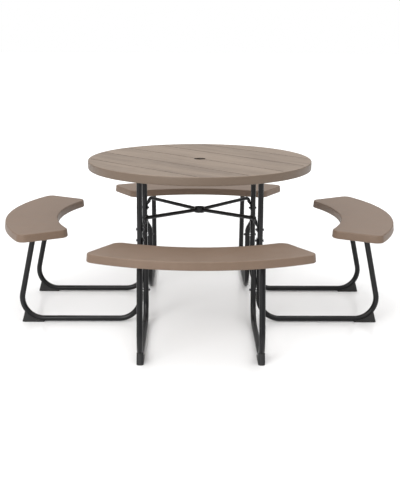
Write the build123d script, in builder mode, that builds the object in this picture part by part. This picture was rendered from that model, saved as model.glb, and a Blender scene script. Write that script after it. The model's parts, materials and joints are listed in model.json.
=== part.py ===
from build123d import *
import os
from math import asin, cos, degrees, hypot, radians, sin, sqrt, tan

# Round picnic table with four curved benches, on a bolted frame of bent steel tube.
# Millimetres, +Z up, origin on the floor under the middle of the table, benches along X and Y.
# "Reach" is a distance from the middle of the table, measured along a bench's own direction.
# The side benches point along X, and the end benches, front and back, point along Y.

# ---- Driving dimensions ---------------------------------------------------------------------

# tabletop
table_height = 725.0
top_radius = 526.5
top_thickness = 39.5
top_edge_round = 5.0
umbrella_hole_d = 54.0
groove_count = 5
groove_pitch = 188.0
groove_width = 7.0
groove_depth = 2.5
groove_margin = 16.0
groove_turn = -45.0

# benches
seat_height = 460.0
seat_thickness = 36.3
seat_inner_reach = 669.2
seat_inner_radius = 696.0
seat_inner_half = 353.0
seat_outer_reach = 917.2
seat_outer_radius = 911.0
seat_outer_half = 475.0
seat_inner_corner = 41.0
seat_outer_corner = 34.0
seat_flare = 3.2
seat_edge_round = 6.0
seat_under_round = 6.0

# hollow panels: skin, and the channels pressed up from below that tie both skins together
skin = 3.0
channel_width = 30.0
channel_draft = 12.0
channel_margin = 42.0
seat_channel_inset = 42.0
boss_d = 17.0

# frame tubes
tube_d = 25.4
tube_wall = 1.2
floor_gap = 1.8
bend_radius = 98.0
leg_splay = 12.0
leg_top_reach = 754.0
side_leg_offset = 250.0
side_upright_reach = 274.0
pair_gap = 0.6
pair_bolt_heights = (153.0, 300.0)
dimple_radius = 16.0
dimple_depth = 3.5

# flattened tab on top of each short upright; a step is a share of the taper's length and how
# far the tube is squashed there
taper_start = 318.0
taper_length = 54.0
taper_steps = ((0.0, 0.0), (0.35, 0.2), (0.7, 0.65), (1.0, 1.0))
tab_bolt_height = 387.0
tab_width = 36.0
tab_thickness = 3.0
tab_end = 12.0
tab_corner = 9.6

# umbrella ring and the four arms that carry it
ring_d = 50.8
ring_wall = 2.5
ring_chamfer = 0.5
ring_height = 25.0
ring_middle = 480.0
arm_d = 17.0
arm_wall = 1.2
arm_rise = 10.0
arm_bend = 22.0
arm_taper = 17.0
arm_taper_steps = ((0.0, 0.0), (0.5, 0.6), (1.0, 1.0))
arm_bolt_height = 438.0
arm_tab_width = 24.0
arm_tab_thickness = 2.6
arm_end = 10.0
arm_corner = 8.0

# welded mounting plates
plate_length = 80.0
plate_width = 40.0
plate_thickness = 3.0
plate_corner = 6.0
plate_screw_spacing = 56.0

# feet
foot_width = 28.6
foot_length = 108.0
foot_height = 50.0
foot_overhang = 102.0
foot_cover = 6.5
foot_outer_slope = 13.0
foot_corner = 12.0
foot_end_slope = 6.0
foot_screw_inset = 57.0

# fasteners
bolt_d = 6.0
bolt_hole_d = 6.6
bolt_head_across = 10.0
bolt_head_height = 4.0
nut_height = 5.0
nut_bore_d = 6.1
bolt_tip = 2.0
screw_d = 5.0
screw_head_d = 10.0
screw_head_height = 3.0
screw_grip = 18.0
foot_screw_d = 4.0
foot_screw_head_d = 7.5
foot_screw_head_height = 2.5
foot_screw_length = 9.0

# named clearances
screw_play = 0.1
plate_play = 0.5
tab_play = 0.15
foot_play = 0.15
cut_past = 1.0

# ---- Values worked out from them ------------------------------------------------------------

tube_r = tube_d / 2
tube_level = floor_gap + tube_r
top_under = table_height - top_thickness
seat_under = seat_height - seat_thickness
plate_under_top = top_under - plate_thickness
plate_under_seat = seat_under - plate_thickness
end_leg_offset = side_upright_reach - tube_d - pair_gap
end_upright_reach = side_leg_offset
upright_face = side_upright_reach - tube_r
side_bolt_seat = side_upright_reach + tube_r
leg_foot_reach = leg_top_reach + (seat_under - tube_level) * tan(radians(leg_splay))
bend_middle_reach = leg_foot_reach - bend_radius * tan(radians(45 + leg_splay / 2))
bend_middle_level = tube_level + bend_radius
tab_face = end_leg_offset + tube_r
arm_face = upright_face - tab_play
foot_outer_reach = bend_middle_reach + foot_overhang
foot_screw_reach = foot_outer_reach - foot_screw_inset
screw_spots = (-plate_screw_spacing / 2, plate_screw_spacing / 2)
sides = {"right": 1, "left": -1}
ends = {"front": -1, "back": 1}
side_benches = {"right": 0.0, "left": 180.0}
end_benches = {"back": 90.0, "front": -90.0}

os.makedirs("parts", exist_ok=True)


def save(builder, name):
    """Label a finished piece and write its file."""
    builder.part.label = name
    export_step(builder.part, f"parts/{name}.step")


def side_leg_plane(side, end):
    """Upright plane of a side bench's leg: local X is the reach along X, local Y is up."""
    return Plane(origin=(0, end * side_leg_offset, 0), x_dir=(side, 0, 0), z_dir=(0, -side, 0))


def end_leg_plane(side, end):
    """Upright plane of an end bench's leg: local X is the reach along Y, local Y is up."""
    return Plane(origin=(side * end_leg_offset, 0, 0), x_dir=(0, end, 0), z_dir=(end, 0, 0))


# ---- Tabletop -------------------------------------------------------------------------------

top_core_height = top_thickness - groove_depth - 2 * skin
plate_spots = [
    (side * side_upright_reach, end * side_leg_offset)
    for side in sides.values()
    for end in ends.values()
]
top_screw_spots = [(x, y + shift) for x, y in plate_spots for shift in screw_spots]


def lines_on_table(count, margin):
    """Places of lines a plank apart about the middle: those that cross the table by a margin."""
    places = [(number - (count - 1) / 2) * groove_pitch for number in range(count)]
    return [place for place in places if abs(place) < top_radius - margin]


def chord_bars(level, places, margin, width, height, draft):
    """Straight round-ended bars along X at the places, each stopping a margin short of the rim."""
    with BuildPart() as bars:
        with BuildSketch(Plane.XY.offset(level)):
            for across in places:
                half_length = sqrt(top_radius ** 2 - across ** 2) - margin
                with Locations((0, across)):
                    SlotOverall(2 * half_length, width)
        extrude(amount=height, taper=draft)
    return bars


def top_channels(level, wall):
    """The hollows of the channels under the planks, grown by a wall."""
    width = channel_width + 2 * wall
    return chord_bars(level, channel_places, channel_margin - wall, width, top_core_height, channel_draft)


groove_floor = table_height - groove_depth
groove_places = lines_on_table(groove_count, groove_margin)
channel_places = lines_on_table(groove_count + 1, channel_margin)
groove_bars = chord_bars(groove_floor, groove_places, groove_margin, groove_width, groove_depth, 0)
channel_bars = top_channels(top_under, 0)
channel_walls = top_channels(top_under + skin, skin)

with BuildPart() as top_hollow:
    with BuildSketch(Plane.XY.offset(top_under + skin)):
        Circle(top_radius - skin)
        Circle(umbrella_hole_d / 2 + skin, mode=Mode.SUBTRACT)
        with Locations(*top_screw_spots):
            Circle(boss_d / 2, mode=Mode.SUBTRACT)
    extrude(amount=top_core_height)
    add(channel_walls.part, rotation=(0, 0, groove_turn), mode=Mode.SUBTRACT)

with BuildPart() as tabletop:
    with BuildSketch(Plane.XY.offset(top_under)):
        Circle(top_radius)
    extrude(amount=top_thickness)
    fillet(tabletop.edges().filter_by(GeomType.CIRCLE), radius=top_edge_round)
    add(groove_bars.part, rotation=(0, 0, groove_turn), mode=Mode.SUBTRACT)
    with BuildSketch(Plane.XY.offset(top_under)):
        Circle(umbrella_hole_d / 2)
    extrude(amount=top_thickness, mode=Mode.SUBTRACT)
    add(channel_bars.part, rotation=(0, 0, groove_turn), mode=Mode.SUBTRACT)
    with BuildSketch(Plane.XY.offset(top_under)):
        with Locations(*top_screw_spots):
            Circle(screw_d / 2 + screw_play)
    extrude(amount=screw_grip + cut_past, mode=Mode.SUBTRACT)
    add(top_hollow.part, mode=Mode.SUBTRACT)
save(tabletop, "tabletop")


# ---- Benches --------------------------------------------------------------------------------

def arc_corner(reach, radius, half):
    """Reach of an arc's end, from the reach of its middle, its radius and half its chord."""
    return reach - radius + sqrt(radius ** 2 - half ** 2)


inner_corner = arc_corner(seat_inner_reach, seat_inner_radius, seat_inner_half)
outer_corner = arc_corner(seat_outer_reach, seat_outer_radius, seat_outer_half)


def seat_outline(level, inset):
    """Bench outline, drawn in by an inset: two arcs and two straight ends, with round corners."""
    with BuildSketch(Plane.XY.offset(level)) as outline:
        with BuildLine():
            inner_ends = [(inner_corner, way * seat_inner_half) for way in (1, -1)]
            outer_ends = [(outer_corner, way * seat_outer_half) for way in (1, -1)]
            ThreePointArc(inner_ends[0], (seat_inner_reach, 0), inner_ends[1])
            Line(inner_ends[1], outer_ends[1])
            ThreePointArc(outer_ends[1], (seat_outer_reach, 0), outer_ends[0])
            Line(outer_ends[0], inner_ends[0])
        make_face()
        fillet(outline.vertices().group_by(Axis.X)[0], radius=seat_inner_corner)
        fillet(outline.vertices().group_by(Axis.X)[-1], radius=seat_outer_corner)
        if inset:
            offset(amount=-inset, mode=Mode.REPLACE)
    return outline


def seat_block(margin):
    """The bench's outer shape, or its hollow if drawn in by a margin: wider below than above."""
    flare = seat_flare * margin / seat_thickness
    below = seat_outline(seat_under + margin, margin + flare)
    above = seat_outline(seat_height - margin, margin + seat_flare - flare)
    with BuildPart() as block:
        loft([below.sketch, above.sketch], ruled=True)
    return block


def seat_channels(level, wall):
    """Outlines of the two curved channels under a bench, grown by a wall."""
    arcs = (
        (seat_inner_reach, seat_inner_radius, seat_inner_half, seat_channel_inset),
        (seat_outer_reach, seat_outer_radius, seat_outer_half, -seat_channel_inset),
    )
    with BuildSketch(Plane.XY.offset(level)) as slots:
        for reach, radius, half, inset in arcs:
            channel_radius = radius + inset
            end_angle = degrees((channel_margin + channel_width / 2) / radius)
            half_angle = degrees(asin(half / radius)) - end_angle
            centre = (reach - radius, 0)
            middle = CenterArc(centre, channel_radius, -half_angle, 2 * half_angle, mode=Mode.PRIVATE)
            SlotArc(middle, channel_width + 2 * wall)
    return slots


def make_seat(leg_offset):
    """A bench along +X: a hollow panel with bosses over the two mounting plates below it."""
    screws = [(leg_top_reach + shift, way * leg_offset) for way in (-1, 1) for shift in screw_spots]
    core_height = seat_thickness - 2 * skin
    channels = seat_channels(seat_under, 0)
    wide_channels = seat_channels(seat_under + skin, skin)
    with BuildPart() as hollow:
        add(seat_block(skin).part)
        with BuildSketch(Plane.XY.offset(seat_under + skin)):
            with Locations(*screws):
                Circle(boss_d / 2)
        extrude(amount=core_height, mode=Mode.SUBTRACT)
        extrude(wide_channels.sketch, amount=core_height, taper=channel_draft, mode=Mode.SUBTRACT)
    with BuildPart() as seat:
        add(seat_block(0).part)
        fillet(seat.edges().group_by(Axis.Z)[-1], radius=seat_edge_round)
        fillet(seat.edges().group_by(Axis.Z)[0], radius=seat_under_round)
        add(hollow.part, mode=Mode.SUBTRACT)
        extrude(channels.sketch, amount=core_height, taper=channel_draft, mode=Mode.SUBTRACT)
        with BuildSketch(Plane.XY.offset(seat_under)):
            with Locations(*screws):
                Circle(screw_d / 2 + screw_play)
        extrude(amount=screw_grip + cut_past, mode=Mode.SUBTRACT)
    return seat


for benches, leg_offset in ((side_benches, side_leg_offset), (end_benches, end_leg_offset)):
    bench_panel = make_seat(leg_offset)
    for bench, turn in benches.items():
        with BuildPart() as seat:
            add(bench_panel.part, rotation=(0, 0, turn))
        save(seat, f"seat_{bench}")


# ---- Bent tube legs -------------------------------------------------------------------------

def leg_path(plane, upright_reach, upright_top):
    """Centre line: splayed leg, wide bend, run along the floor, bend, vertical upright."""
    lean = tan(radians(leg_splay))
    start = (leg_top_reach - tube_d * lean, seat_under + tube_d)
    with BuildLine(plane) as path:
        FilletPolyline(
            start,
            (leg_foot_reach, tube_level),
            (upright_reach, tube_level),
            (upright_reach, upright_top),
            radius=bend_radius,
        )
    return path


def leg_sweep(plane, upright_reach, upright_top, radius):
    """Solid round bar along a leg's centre line."""
    path = leg_path(plane, upright_reach, upright_top)
    with BuildPart() as bar:
        with BuildSketch(path.line ^ 0):
            Circle(radius)
        sweep(path=path.line)
    return bar


def press_dimples(reach, end, radius):
    """Cut the round hollows that the pair bolts pull into a tube's facing side."""
    for side in (-1, 1):
        for level in pair_bolt_heights:
            with Locations((side * reach, end * side_leg_offset, level)):
                Cylinder(radius, tube_d + 2 * cut_past, rotation=(90, 0, 0), mode=Mode.SUBTRACT)


def drill_across(side, end, reach, levels):
    """Drill bolt holes along X through an upright."""
    for level in levels:
        with Locations((side * reach, end * side_leg_offset, level)):
            Cylinder(bolt_hole_d / 2, tube_d + 2 * cut_past, rotation=(0, 90, 0), mode=Mode.SUBTRACT)


def drill_foot_hole(plane):
    """Hole in the tube's lower wall for the foot's screw."""
    with BuildSketch(plane) as hole:
        with Locations((foot_screw_reach, tube_level / 2)):
            Rectangle(foot_screw_d + 2 * screw_play, tube_level)
    extrude(hole.sketch, amount=foot_screw_d / 2 + screw_play, both=True, mode=Mode.SUBTRACT)


def trim_leg_top(plane):
    """Cut the splayed leg level under its mounting plate."""
    with BuildSketch(plane) as above:
        with Locations((leg_top_reach, plate_under_seat + tube_d)):
            Rectangle(4 * tube_d, 2 * tube_d)
    extrude(above.sketch, amount=tube_d, both=True, mode=Mode.SUBTRACT)


dimple_offset = tube_r + dimple_radius - dimple_depth


def make_side_leg(side, end):
    """Leg of a side bench, whose long upright carries the tabletop."""
    plane = side_leg_plane(side, end)
    dimple_reach = side_upright_reach - dimple_offset
    bore = leg_sweep(plane, side_upright_reach, plate_under_top + cut_past, tube_r - tube_wall)
    with BuildPart() as bore_cut:
        add(bore.part)
        press_dimples(dimple_reach, end, dimple_radius + tube_wall)
    bar = leg_sweep(plane, side_upright_reach, plate_under_top, tube_r)
    with BuildPart() as leg:
        add(bar.part)
        press_dimples(dimple_reach, end, dimple_radius)
        add(bore_cut.part, mode=Mode.SUBTRACT)
        trim_leg_top(plane)
        drill_across(side, end, side_upright_reach, (*pair_bolt_heights, tab_bolt_height, arm_bolt_height))
        drill_foot_hole(plane)
    return leg


def squashed_tube(side, end, face, diameter, flat, start, length, steps):
    """Solid between a round tube end and its flattened tab, flush with the face it is bolted to.

    Each step is a share of the length and how far the round section is squashed there, from 0
    to 1; a section is a circle drawn out sideways, an ellipse, and the last one is the flat tab.
    """
    sections = []
    for share, squash in steps:
        depth = diameter + (flat[0] - diameter) * squash
        width = diameter + (flat[1] - diameter) * squash
        with BuildSketch(Plane.XY.offset(start + share * length)) as section:
            with Locations((side * (face - depth / 2), end * side_leg_offset)):
                Ellipse(depth / 2, width / 2)
        sections.append(section.sketch)
    loft(sections)


def flat_end(side, end, face, flat, level, length):
    """Flat end of a squashed tube, from a level up or down by its length."""
    with BuildSketch(Plane.XY.offset(level)) as section:
        with Locations((side * (face - flat[0] / 2), end * side_leg_offset)):
            Rectangle(*flat)
    extrude(section.sketch, amount=length)


def make_end_leg(side, end):
    """Leg of an end bench, whose short upright is flattened and bolted to the long one."""
    plane = end_leg_plane(side, end)
    dimple_reach = end_leg_offset + dimple_offset
    bore = leg_sweep(plane, end_upright_reach, taper_start, tube_r - tube_wall)
    with BuildPart() as bore_cut:
        add(bore.part)
        press_dimples(dimple_reach, end, dimple_radius + tube_wall)
    bar = leg_sweep(plane, end_upright_reach, taper_start, tube_r)
    taper_end = taper_start + taper_length
    tab = (tab_thickness, tab_width)
    with BuildPart() as leg:
        add(bar.part)
        press_dimples(dimple_reach, end, dimple_radius)
        add(bore_cut.part, mode=Mode.SUBTRACT)
        trim_leg_top(plane)
        squashed_tube(side, end, tab_face, tube_d, tab, taper_start, taper_length, taper_steps)
        flat_end(side, end, tab_face, tab, taper_end, tab_bolt_height + tab_end - taper_end)
        fillet(leg.edges().filter_by(Axis.X).group_by(Axis.Z)[-1], radius=tab_corner)
        drill_across(side, end, end_leg_offset, pair_bolt_heights)
        drill_across(side, end, tab_face, (tab_bolt_height,))
        drill_foot_hole(plane)
    return leg


side_legs = {(side, end): make_side_leg(sides[side], ends[end]) for side in sides for end in ends}
for (side, end), leg in side_legs.items():
    save(leg, f"leg_{side}_{end}")

end_legs = {(side, end): make_end_leg(sides[side], ends[end]) for side in sides for end in ends}
for (side, end), leg in end_legs.items():
    save(leg, f"leg_{end}_{side}")


# ---- Umbrella ring and its arms -------------------------------------------------------------

with BuildPart() as umbrella_ring:
    with BuildSketch(Plane.XY.offset(ring_middle - ring_height / 2)):
        Circle(ring_d / 2)
        Circle(ring_d / 2 - ring_wall, mode=Mode.SUBTRACT)
    extrude(amount=ring_height)
    chamfer(umbrella_ring.edges().filter_by(GeomType.CIRCLE), length=ring_chamfer)
save(umbrella_ring, "umbrella_ring")

arm_end_x = arm_face - arm_d / 2
arm_end_y = side_leg_offset
arm_reach = hypot(arm_end_x, arm_end_y)
arm_top = ring_middle + arm_rise
arm_round_end = arm_top - arm_bend


def arm_bar(side, end, radius):
    """Solid round bar from the ring outwards, then down beside the upright."""
    out = Vector(side * arm_end_x, end * arm_end_y, 0).normalized()
    plane = Plane(origin=(0, 0, 0), x_dir=out, z_dir=out.cross(Vector(0, 0, 1)))
    with BuildLine(plane) as path:
        FilletPolyline(
            (0, ring_middle),
            (arm_reach, arm_top),
            (arm_reach, arm_round_end - cut_past),
            radius=arm_bend,
        )
    with BuildPart() as bar:
        with BuildSketch(path.line ^ 0):
            Circle(radius)
        sweep(path=path.line)
    return bar


def make_arm(side, end):
    """Brace arm: a small tube whose outer end is bent down, flattened and drilled."""
    bar = arm_bar(side, end, arm_d / 2)
    bore = arm_bar(side, end, arm_d / 2 - arm_wall)
    round_end = arm_round_end - cut_past
    tab_top = round_end - arm_taper
    tab = (arm_tab_thickness, arm_tab_width)
    with BuildPart() as arm:
        add(bar.part)
        add(bore.part, mode=Mode.SUBTRACT)
        with Locations((0, 0, ring_middle)):
            Cylinder(ring_d / 2, 2 * ring_height, mode=Mode.SUBTRACT)
        squashed_tube(side, end, arm_face, arm_d, tab, round_end, -arm_taper, arm_taper_steps)
        flat_end(side, end, arm_face, tab, tab_top, arm_bolt_height - arm_end - tab_top)
        fillet(arm.edges().filter_by(Axis.X).group_by(Axis.Z)[0], radius=arm_corner)
        drill_across(side, end, arm_face, (arm_bolt_height,))
    return arm


for side in sides:
    for end in ends:
        save(make_arm(sides[side], ends[end]), f"brace_arm_{side}_{end}")


# ---- Mounting plates, welded to the tube ends -----------------------------------------------

def make_plate(x, y, level, turn):
    """Flat plate with two screw holes in line."""
    with BuildPart() as plate:
        with BuildSketch(Plane(origin=(x, y, level)).rotated((0, 0, turn))):
            RectangleRounded(plate_length, plate_width, plate_corner)
            with Locations(*[(shift, 0) for shift in screw_spots]):
                Circle(screw_d / 2 + plate_play / 2, mode=Mode.SUBTRACT)
        extrude(amount=plate_thickness)
    return plate


seat_plate_spots = {}
for side in sides:
    for end in ends:
        along_x = sides[side]
        along_y = ends[end]
        top_plate = make_plate(along_x * side_upright_reach, along_y * side_leg_offset, plate_under_top, 90)
        save(top_plate, f"top_plate_{side}_{end}")
        seat_plate_spots[f"{side}_{end}"] = (along_x * leg_top_reach, along_y * side_leg_offset, 0)
        seat_plate_spots[f"{end}_{side}"] = (along_x * end_leg_offset, along_y * leg_top_reach, 90)
for place, (x, y, turn) in seat_plate_spots.items():
    save(make_plate(x, y, plate_under_seat, turn), f"seat_plate_{place}")


# ---- Feet -----------------------------------------------------------------------------------

def make_foot(plane, upright_reach, upright_top):
    """Moulded wedge that fills the space under a leg's outer bend and carries it on the floor."""
    cover_radius = bend_radius + tube_r - foot_cover
    cover_level = bend_middle_level - cover_radius
    top_turn = -asin((bend_middle_level - foot_height) / cover_radius)
    middle_turn = (top_turn + radians(-90)) / 2
    top_corner = (bend_middle_reach + cover_radius * cos(top_turn), foot_height)
    arc_middle = (
        bend_middle_reach + cover_radius * cos(middle_turn),
        bend_middle_level + cover_radius * sin(middle_turn),
    )
    inner_reach = foot_outer_reach - foot_length
    bar = leg_sweep(plane, upright_reach, upright_top, tube_r + foot_play)
    foot_slant = plane.x_dir * -foot_outer_slope + Vector(0, 0, foot_height)
    with BuildSketch(Plane(origin=plane.origin, x_dir=plane.x_dir, z_dir=(0, 0, 1))) as sole:
        with Locations((inner_reach, 0)):
            Rectangle(2 * foot_length, foot_width)
        fillet(sole.vertices().group_by(Axis.X)[-1], radius=foot_corner)
    with BuildPart() as foot:
        with BuildSketch(plane):
            with BuildLine():
                Polyline(
                    (bend_middle_reach, cover_level),
                    (inner_reach, cover_level),
                    (inner_reach + foot_end_slope, 0),
                    (foot_outer_reach, 0),
                    (foot_outer_reach - foot_outer_slope, foot_height),
                    top_corner,
                )
                ThreePointArc(top_corner, arc_middle, (bend_middle_reach, cover_level))
            make_face()
        extrude(amount=foot_width / 2, both=True)
        extrude(sole.sketch, amount=foot_slant.length, dir=foot_slant, mode=Mode.INTERSECT)
        add(bar.part, mode=Mode.SUBTRACT)
        foot_screw_axis = plane.from_local_coords((foot_screw_reach, 0, 0))
        with Locations((foot_screw_axis.X, foot_screw_axis.Y, 0)):
            head_room = 2 * (foot_screw_head_height + screw_play)
            Cylinder(foot_screw_head_d / 2 + screw_play, head_room, mode=Mode.SUBTRACT)
            Cylinder(foot_screw_d / 2 + screw_play, 2 * bend_radius, mode=Mode.SUBTRACT)
    return foot


for side in sides:
    for end in ends:
        plane = side_leg_plane(sides[side], ends[end])
        save(make_foot(plane, side_upright_reach, plate_under_top), f"foot_{side}_{end}")
        plane = end_leg_plane(sides[side], ends[end])
        save(make_foot(plane, end_upright_reach, taper_start), f"foot_{end}_{side}")


# ---- Fasteners: identical ones are a group of separate solids -------------------------------

def lay_sketch(sketch, amount):
    """Extrude a finished sketch into the part being built."""
    extrude(sketch.sketch, amount=amount)


def add_bolt(side, end, level, grip_end):
    """Hexagon bolt along X, head against the outside of a long upright."""
    bearing = Plane(
        origin=(side * side_bolt_seat, end * side_leg_offset, level),
        x_dir=(0, 1, 0),
        z_dir=(side, 0, 0),
    )
    with BuildSketch(bearing) as head:
        RegularPolygon(bolt_head_across / 2, 6, major_radius=False)
    lay_sketch(head, bolt_head_height)
    with BuildSketch(bearing) as shank:
        Circle(bolt_d / 2)
    lay_sketch(shank, grip_end - nut_height - bolt_tip - side_bolt_seat)


def add_nut(side, end, level, grip_end):
    """Hexagon nut along X, against the inner side of what the bolt holds."""
    bearing = Plane(
        origin=(side * grip_end, end * side_leg_offset, level),
        x_dir=(0, 1, 0),
        z_dir=(-side, 0, 0),
    )
    with BuildSketch(bearing) as ring:
        RegularPolygon(bolt_head_across / 2, 6, major_radius=False)
        Circle(nut_bore_d / 2, mode=Mode.SUBTRACT)
    lay_sketch(ring, nut_height)


arm_grip_end = arm_face - arm_tab_thickness
tab_grip_end = tab_face - tab_thickness
pair_grip_end = end_leg_offset - tube_r
bolt_groups = {
    "arm": (arm_grip_end, (arm_bolt_height,)),
    "tab": (tab_grip_end, (tab_bolt_height,)),
    "pair": (pair_grip_end, pair_bolt_heights),
}

for group, (grip_end, levels) in bolt_groups.items():
    with BuildPart() as bolts:
        for side in sides.values():
            for end in ends.values():
                for level in levels:
                    add_bolt(side, end, level, grip_end)
    save(bolts, f"{group}_bolts")
    with BuildPart() as nuts:
        for side in sides.values():
            for end in ends.values():
                for level in levels:
                    add_nut(side, end, level, grip_end)
    save(nuts, f"{group}_nuts")


def add_screw(x, y, head_face, head_radius, head_height, shank_radius, length):
    """Screw driven upwards: a round head under a face and its shank above it."""
    with BuildSketch(Plane.XY.offset(head_face)) as head:
        with Locations((x, y)):
            Circle(head_radius)
    extrude(head.sketch, amount=-head_height)
    with BuildSketch(Plane.XY.offset(head_face)) as shank:
        with Locations((x, y)):
            Circle(shank_radius)
    extrude(shank.sketch, amount=length)


panel_screw = (screw_d / 2, plate_thickness + screw_grip)
with BuildPart() as top_screws:
    for x, y in top_screw_spots:
        add_screw(x, y, plate_under_top, screw_head_d / 2, screw_head_height, *panel_screw)
save(top_screws, "top_screws")

with BuildPart() as seat_screws:
    for x, y, turn in seat_plate_spots.values():
        for shift in screw_spots:
            along = shift * cos(radians(turn))
            across = shift * sin(radians(turn))
            place = (x + along, y + across, plate_under_seat)
            add_screw(*place, screw_head_d / 2, screw_head_height, *panel_screw)
save(seat_screws, "seat_screws")

with BuildPart() as foot_screws:
    for side in sides.values():
        for end in ends.values():
            for plane in (side_leg_plane(side, end), end_leg_plane(side, end)):
                spot = plane.from_local_coords((foot_screw_reach, 0, 0))
                add_screw(
                    spot.X,
                    spot.Y,
                    foot_screw_head_height + screw_play,
                    foot_screw_head_d / 2,
                    foot_screw_head_height,
                    foot_screw_d / 2,
                    foot_screw_length,
                )
save(foot_screws, "foot_screws")
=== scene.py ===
# %% [markdown]
# # A round picnic table with four curved benches
# The real thing is moulded plastic panels, hollow like a kayak, screwed to a frame of bent
# steel tube. The frame of this scene is the measured model: it says where every part sits.
# We could keep all of its meshes as they are. Instead the tabletop and the benches are made
# again here as smooth surfaces, and weld beads are added. Tubes, arms, ring, plates, feet
# and fasteners keep their measured shape and only get a finish.

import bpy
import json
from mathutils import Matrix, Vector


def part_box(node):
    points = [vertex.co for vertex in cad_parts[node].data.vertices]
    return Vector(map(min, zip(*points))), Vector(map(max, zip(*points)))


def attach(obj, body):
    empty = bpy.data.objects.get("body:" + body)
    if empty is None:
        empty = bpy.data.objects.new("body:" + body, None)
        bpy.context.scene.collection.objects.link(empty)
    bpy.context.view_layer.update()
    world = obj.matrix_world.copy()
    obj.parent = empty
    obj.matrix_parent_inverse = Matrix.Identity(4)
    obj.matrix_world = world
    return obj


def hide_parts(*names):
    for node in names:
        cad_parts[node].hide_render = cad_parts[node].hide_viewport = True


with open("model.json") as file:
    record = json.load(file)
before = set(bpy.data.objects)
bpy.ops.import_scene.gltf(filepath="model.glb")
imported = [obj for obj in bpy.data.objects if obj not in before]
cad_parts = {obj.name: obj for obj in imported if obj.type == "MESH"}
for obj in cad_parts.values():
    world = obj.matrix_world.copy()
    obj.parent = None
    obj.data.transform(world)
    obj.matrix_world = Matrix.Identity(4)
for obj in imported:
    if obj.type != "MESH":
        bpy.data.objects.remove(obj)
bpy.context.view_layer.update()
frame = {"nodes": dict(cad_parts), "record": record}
record = frame["record"]
nodes = frame["nodes"]

# %% Libraries
import json
import bpy
import bmesh
import numpy as np
from mathutils import Matrix, Vector

MM = 0.001
SIDES = {"right": 1, "left": -1}
ENDS = {"front": -1, "back": 1}

# %% [markdown]
# ## Helpers: from arrays to a mesh
# Every new shape is one or more grids of points. A grid is a function of two parameters,
# worked out for all points at once, and its faces are the squares between neighbours.
# Several grids that share a border are joined by merging the points that coincide, which
# also closes seams and poles.


# %% Grids to meshes
def grid_faces(rows, columns, start=0, flip=False):
    """Squares of a grid stored row by row: corners (i,j), (i,j+1), (i+1,j+1), (i+1,j)."""
    corner = start + np.arange((rows - 1) * columns).reshape(rows - 1, columns)[:, :-1]
    corner = corner.ravel()
    quads = np.stack([corner, corner + 1, corner + columns + 1, corner + columns], axis=1)
    return quads[:, ::-1] if flip else quads


def piece_from_grids(name, grids, node_names, sharp_angle=35.0, merge=2e-6):
    """Join grids into one closed piece that stands for CAD nodes.

    grids is a list of (points with shape rows x columns x 3, flip). Points nearer than
    merge become one, faces are turned outwards, and edges sharper than the angle stay crisp.
    """
    points, quads, start = [], [], 0
    for grid, flip in grids:
        rows, columns = grid.shape[:2]
        points.append(grid.reshape(-1, 3))
        quads.append(grid_faces(rows, columns, start, flip))
        start += rows * columns
    mesh = bpy.data.meshes.new(name)
    mesh.from_pydata(np.concatenate(points).tolist(), [], np.concatenate(quads).tolist())
    work = bmesh.new()
    work.from_mesh(mesh)
    bmesh.ops.remove_doubles(work, verts=work.verts, dist=merge)
    bmesh.ops.dissolve_degenerate(work, edges=work.edges, dist=merge / 4)
    bmesh.ops.recalc_face_normals(work, faces=work.faces)
    open_edges = sum(1 for edge in work.edges if not edge.is_manifold)
    work.to_mesh(mesh)
    work.free()
    mesh.polygons.foreach_set("use_smooth", np.ones(len(mesh.polygons), dtype=bool))
    mesh.set_sharp_from_angle(angle=np.radians(sharp_angle))
    piece = bpy.data.objects.new(name, mesh)
    bpy.context.scene.collection.objects.link(piece)
    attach(piece, "root")
    if node_names:
        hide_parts(*node_names)
    print(f"{name}: {len(mesh.polygons)} faces, {open_edges} open edges")
    return piece


def turn_about_z(points, degrees):
    """Points turned about the vertical axis."""
    angle = np.radians(degrees)
    turned = points.copy()
    turned[..., 0] = points[..., 0] * np.cos(angle) - points[..., 1] * np.sin(angle)
    turned[..., 1] = points[..., 0] * np.sin(angle) + points[..., 1] * np.cos(angle)
    return turned


def sorted_unique(values, least_gap=1e-7):
    """Sorted values with near repeats taken out."""
    values = np.sort(np.concatenate([np.atleast_1d(v) for v in values]))
    return values[np.concatenate([[True], np.diff(values) > least_gap])]


def smooth_step(values):
    """0 below 0, 1 above 1, and an S-curve between."""
    clipped = np.clip(values, 0.0, 1.0)
    return clipped * clipped * (3.0 - 2.0 * clipped)


# %% [markdown]
# ## The tabletop
# The real top is a hollow disc blown in a mould: a skin with five straight grooves that
# make it look like six planks, soft edges, and channels pressed up from below that tie the
# two skins together. A disc could be cut with booleans, but the cuts shade badly. Here the
# points lie in rows that run along the planks, so every groove edge is a row of points.

# %% Tabletop sizes
top_low, top_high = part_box("tabletop")
TOP = top_high.z
TOP_UNDER = top_low.z
TOP_RADIUS = (top_high.x - top_low.x) / 2
TOP_ROUND = 5.0 * MM
mount_of = {mount["name"]: mount for mount in record["mounts"]}
HOLE_RADIUS = mount_of["umbrella_hole"]["dims"]["r_mm"] * MM
HOLE_LIP = 1.6 * MM
PLANK_TURN = -45.0
PLANK_PITCH = 188.0 * MM
GROOVES = (np.arange(5) - 2) * PLANK_PITCH
GROOVE_WIDTH = 7.0 * MM
GROOVE_DEPTH = 2.5 * MM
GROOVE_MARGIN = 16.0 * MM
CHANNELS = (np.arange(6) - 2.5) * PLANK_PITCH
CHANNEL_MOUTH = 30.0 * MM
CHANNEL_FLOOR = 17.0 * MM
CHANNEL_DEPTH = 31.0 * MM
CHANNEL_MARGIN = 42.0 * MM


# %% Tabletop surface
def trough(distance, mouth, floor):
    """1 on a trough's floor, 0 outside its mouth, a smooth wall between: profile across it."""
    return smooth_step((mouth / 2 - np.abs(distance)) / (mouth / 2 - floor / 2))


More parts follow.
